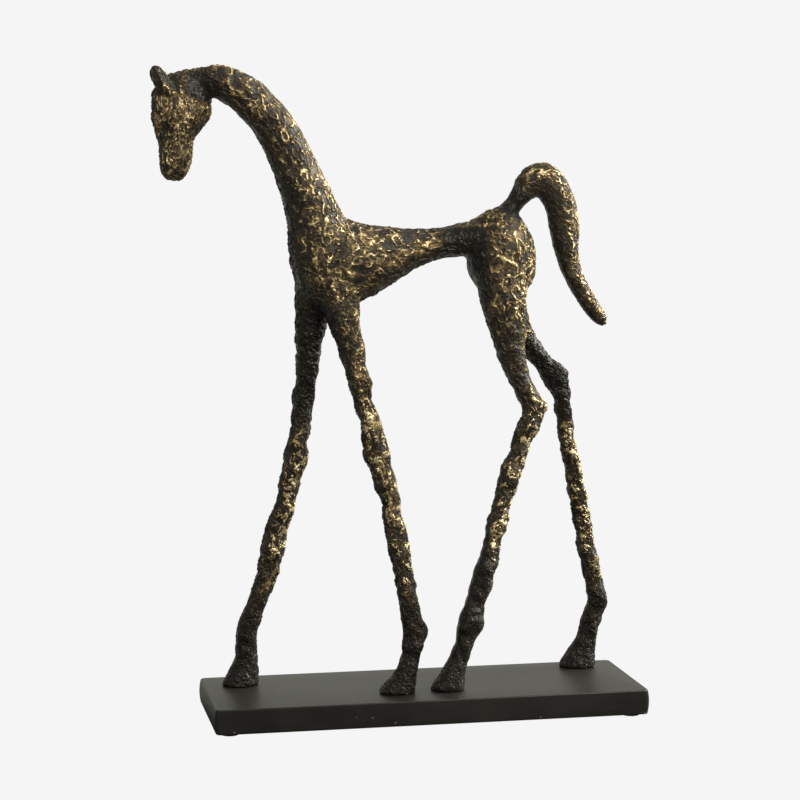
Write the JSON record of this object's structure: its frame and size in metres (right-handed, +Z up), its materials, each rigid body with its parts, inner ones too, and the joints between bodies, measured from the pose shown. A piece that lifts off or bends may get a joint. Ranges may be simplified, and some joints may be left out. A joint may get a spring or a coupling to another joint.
{
  "type": "horse statue",
  "caption": "Standing long-legged horse figure in patinated, gold-rubbed metal on a flat black rectangular plinth, for a shelf or table.",
  "frame": {"origin": "on the resting plane (the undersides of the four foot pads), midway along the overall length from the ear tips to the rear end of the plinth, and midway across the plinth", "axes": "+Z up; the horse faces -X; its left side is towards -Y; +Y is towards its right side"},
  "size_m": [0.3657, 0.106, 0.4846],
  "materials": {
    "bronze": "dark brown-black patina with gold rubbed on the raised bark-like relief",
    "dowel_steel": "plain turned rod",
    "screw_steel": "zinc plated",
    "washer_steel": "zinc plated",
    "plinth_black": "satin black paint",
    "pad_rubber": "matte"
  },
  "bodies": {
    "root": {"head": "bronze", "neck": "bronze", "trunk": "bronze", "hindquarters": "bronze", "tail": "bronze", "foreleg_left": "bronze", "foreleg_right": "bronze", "hindleg_left": "bronze", "hindleg_right": "bronze", "dowel_poll": "dowel_steel", "dowel_neck_base": "dowel_steel", "dowel_loin": "dowel_steel", "dowel_tail": "dowel_steel", "dowel_foreleg_left": "dowel_steel", "dowel_foreleg_right": "dowel_steel", "dowel_hindleg_left": "dowel_steel", "dowel_hindleg_right": "dowel_steel", "screw_foreleg_left": "screw_steel", "screw_foreleg_right": "screw_steel", "screw_hindleg_left": "screw_steel", "screw_hindleg_right": "screw_steel", "washer_foreleg_left": "washer_steel", "washer_foreleg_right": "washer_steel", "washer_hindleg_left": "washer_steel", "washer_hindleg_right": "washer_steel", "plinth": "plinth_black", "pad_front_left": "pad_rubber", "pad_front_right": "pad_rubber", "pad_rear_left": "pad_rubber", "pad_rear_right": "pad_rubber"}
  },
  "joints": []
}
